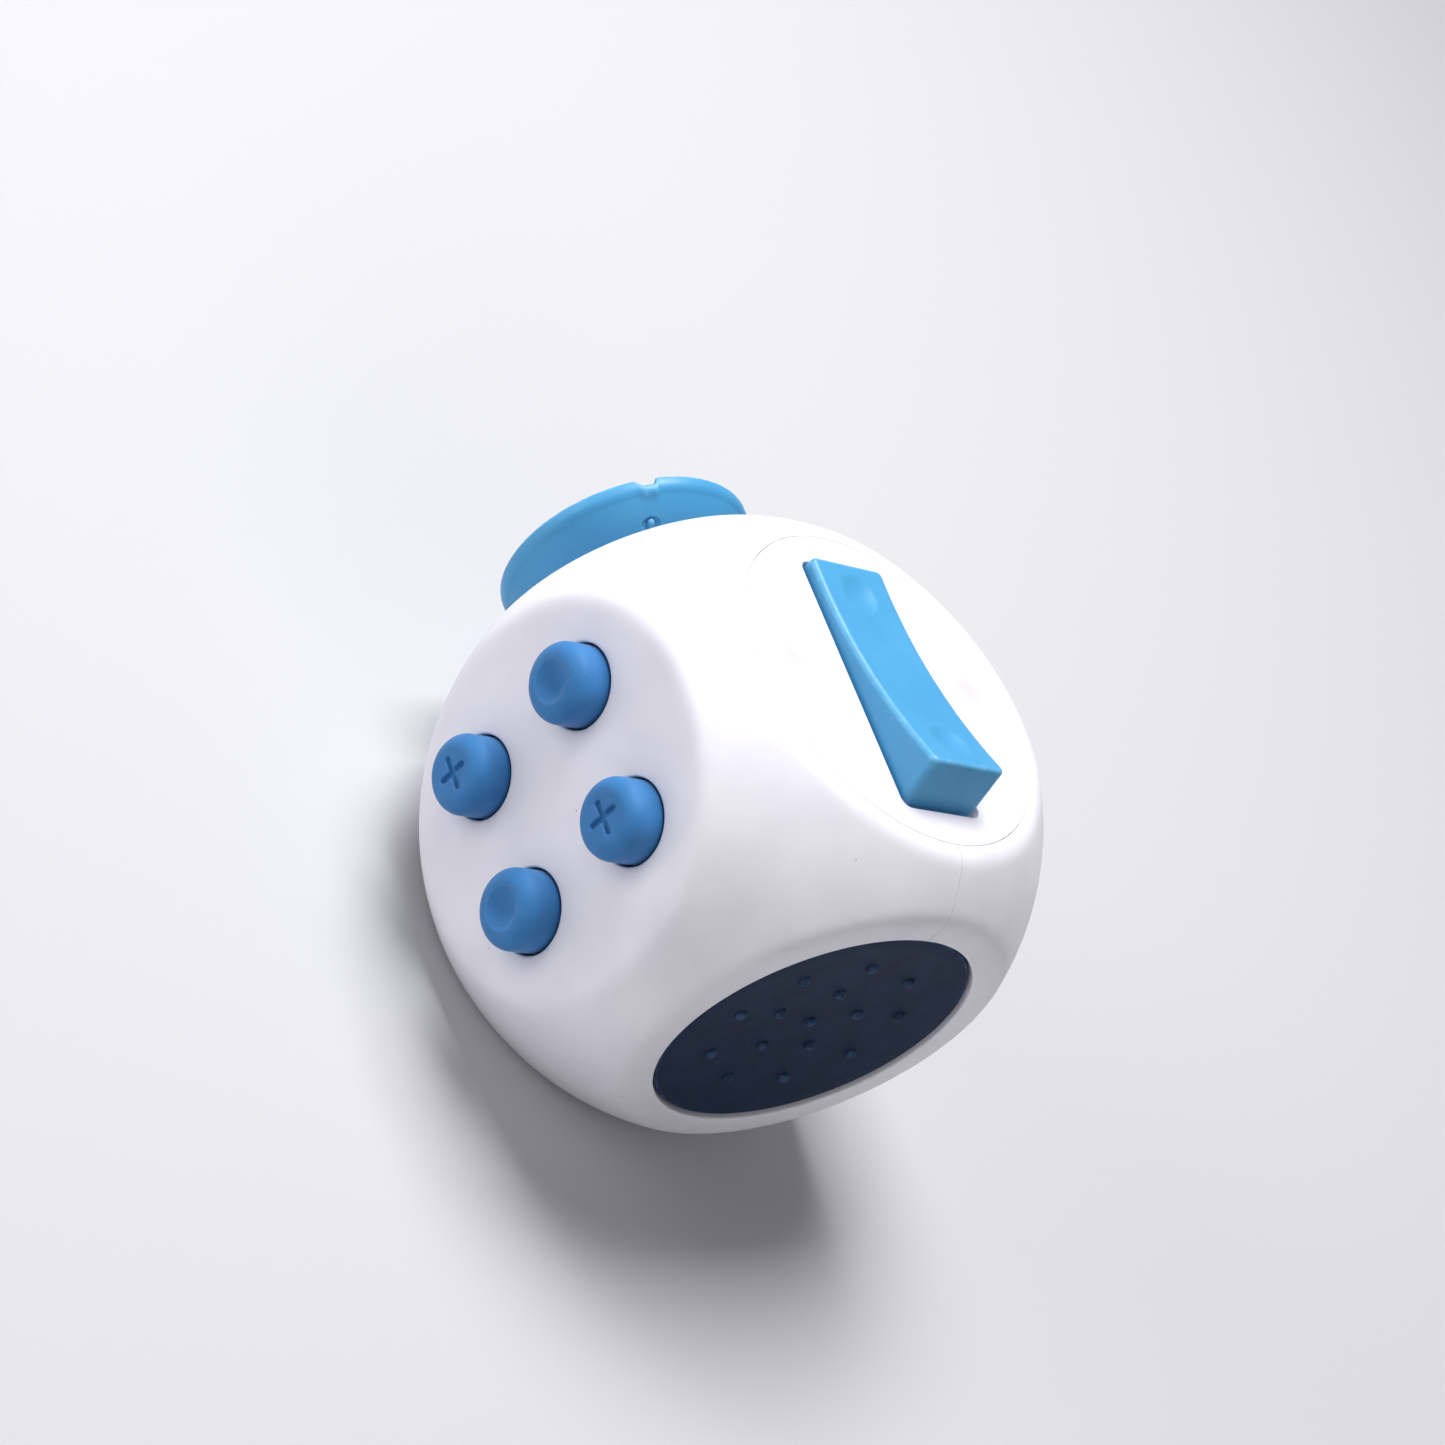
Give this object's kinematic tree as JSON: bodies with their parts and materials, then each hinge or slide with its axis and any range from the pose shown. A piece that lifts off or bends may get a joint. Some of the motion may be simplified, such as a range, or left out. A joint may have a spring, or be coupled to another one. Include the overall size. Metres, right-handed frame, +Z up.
{
  "type": "fidget cube",
  "caption": "Ball-shaped fidget cube whose flat faces carry push buttons, a flip rocker, a thumb stick, a rubber pad, rolling gears with a ball, and a spin dial.",
  "frame": {"origin": "middle of the box that the whole part fills, on the surface that the cube stands on", "axes": "+Z up through the rocker face, -Y out of the button face, -X out of the thumb-stick face, +X out of the rubber pad, +Y out of the gears and ball"},
  "size_m": [0.0432, 0.0398, 0.0397],
  "materials": {
    "white_shell": "moulded white ABS, satin gloss",
    "inner_plastic": "unpolished moulded ABS inside the case",
    "sky_blue_plastic": "moulded sky-blue ABS, satin",
    "blue_silicone": "matte mid-blue silicone",
    "navy_rubber": "matte navy rubber with small raised dots",
    "acetal": "natural acetal, slightly waxy",
    "steel": "bright zinc-plated or polished steel",
    "spring_steel": "drawn spring wire and stamped domes"
  },
  "bodies": {
    "case": {"front_shell": "white_shell", "rear_shell": "white_shell", "rocker_face_plate": "white_shell", "stick_face_plate": "white_shell", "dial_face_plate": "white_shell", "pad_carrier": "inner_plastic", "button_carrier": "inner_plastic", "rocker_bracket": "inner_plastic", "stick_frame": "inner_plastic", "roller_frame": "inner_plastic", "thumb_pad": "navy_rubber", "rocker_pin": "steel", "gear_axle": "steel", "button_screw_upper": "steel", "button_screw_lower": "steel", "rocker_screw_front": "steel", "rocker_screw_rear": "steel", "stick_screw_1": "steel", "stick_screw_2": "steel", "stick_screw_3": "steel", "roller_screw_left": "steel", "roller_screw_right": "steel", "snap_dome_upper": "spring_steel", "snap_dome_lower": "spring_steel", "button_spring_upper": "spring_steel", "button_spring_lower": "spring_steel", "detent_spring": "spring_steel", "stick_spring": "spring_steel", "ball_spring": "spring_steel"},
    "upper_dished_button": {"button_dished_upper": "blue_silicone"},
    "lower_dished_button": {"button_dished_lower": "blue_silicone"},
    "upper_crossed_button": {"button_crossed_upper": "blue_silicone"},
    "lower_crossed_button": {"button_crossed_lower": "blue_silicone"},
    "rocker": {"flip_rocker": "sky_blue_plastic"},
    "detent": {"detent_plunger": "acetal"},
    "gimbal": {"gimbal_ring": "acetal"},
    "stick": {"stick_cap": "sky_blue_plastic", "stick_stem": "acetal", "stick_cross_pin": "steel"},
    "centring": {"centring_disc": "acetal"},
    "dial": {"spin_dial": "sky_blue_plastic", "dial_washer": "steel", "dial_screw": "steel"},
    "left_gear": {"roller_gear_left": "steel"},
    "middle_gear": {"roller_gear_middle": "steel"},
    "right_gear": {"roller_gear_right": "steel"},
    "cradle": {"ball_cradle": "acetal"},
    "ball": {"roller_ball": "steel"}
  },
  "joints": [
    {"name": "upper_dished_button_press", "type": "slide", "parent": "case", "child": "upper_dished_button", "axis": [0, 1, 0], "range_m": [0, 0.0012], "stiffness_N_per_m": 600, "springref_m": -0.0004},
    {"name": "lower_dished_button_press", "type": "slide", "parent": "case", "child": "lower_dished_button", "axis": [0, 1, 0], "range_m": [0, 0.0012], "stiffness_N_per_m": 600, "springref_m": -0.0004},
    {"name": "upper_crossed_button_press", "type": "slide", "parent": "case", "child": "upper_crossed_button", "axis": [0, 1, 0], "range_m": [0, 0.0012], "stiffness_N_per_m": 600, "springref_m": -0.0004, "deforming": ["button_spring_upper"]},
    {"name": "lower_crossed_button_press", "type": "slide", "parent": "case", "child": "lower_crossed_button", "axis": [0, 1, 0], "range_m": [0, 0.0012], "stiffness_N_per_m": 600, "springref_m": -0.0004, "deforming": ["button_spring_lower"]},
    {"name": "rocker_flip", "type": "hinge", "parent": "case", "child": "rocker", "pos_m": [0.00363, 0.0009, 0.0338], "axis": [0, 1, 0], "range_deg": [0, 16.4]},
    {"name": "detent_press", "type": "slide", "parent": "case", "child": "detent", "axis": [0, 0, -1], "range_m": [0, 0.0005], "stiffness_N_per_m": 400, "springref_m": -0.0003, "deforming": ["detent_spring"]},
    {"name": "stick_tilt_up_down", "type": "hinge", "parent": "case", "child": "gimbal", "pos_m": [-0.00797, 0.0009, 0.018], "axis": [0, 1, 0], "range_deg": [-10, 10], "stiffness_Nm_per_rad": 0.03},
    {"name": "stick_tilt_sideways", "type": "hinge", "parent": "gimbal", "child": "stick", "pos_m": [-0.00797, 0.0009, 0.018], "axis": [0, 0, 1], "range_deg": [-10, 10], "stiffness_Nm_per_rad": 0.03},
    {"name": "centring_press", "type": "slide", "parent": "case", "child": "centring", "axis": [1, 0, 0], "range_m": [0, 0.0006], "stiffness_N_per_m": 800, "springref_m": -0.0004, "deforming": ["stick_spring"]},
    {"name": "dial_spin", "type": "hinge", "parent": "case", "child": "dial", "pos_m": [0.00363, 0.0009, 0.002], "axis": [0, 0, 1], "continuous": true},
    {"name": "left_gear_roll", "type": "hinge", "parent": "case", "child": "left_gear", "pos_m": [0.00073, 0.0149, 0.0225], "axis": [1, 0, 0], "continuous": true},
    {"name": "middle_gear_roll", "type": "hinge", "parent": "case", "child": "middle_gear", "pos_m": [0.00363, 0.0149, 0.0225], "axis": [1, 0, 0], "continuous": true},
    {"name": "right_gear_roll", "type": "hinge", "parent": "case", "child": "right_gear", "pos_m": [0.00653, 0.0149, 0.0225], "axis": [1, 0, 0], "continuous": true},
    {"name": "ball_press", "type": "slide", "parent": "case", "child": "cradle", "axis": [0, -1, 0], "range_m": [0, 0.0008], "stiffness_N_per_m": 500, "springref_m": -0.0004, "deforming": ["ball_spring"]},
    {"name": "ball_roll", "type": "hinge", "parent": "cradle", "child": "ball", "pos_m": [0.00363, 0.0169, 0.0115], "axis": [1, 0, 0], "continuous": true}
  ]
}
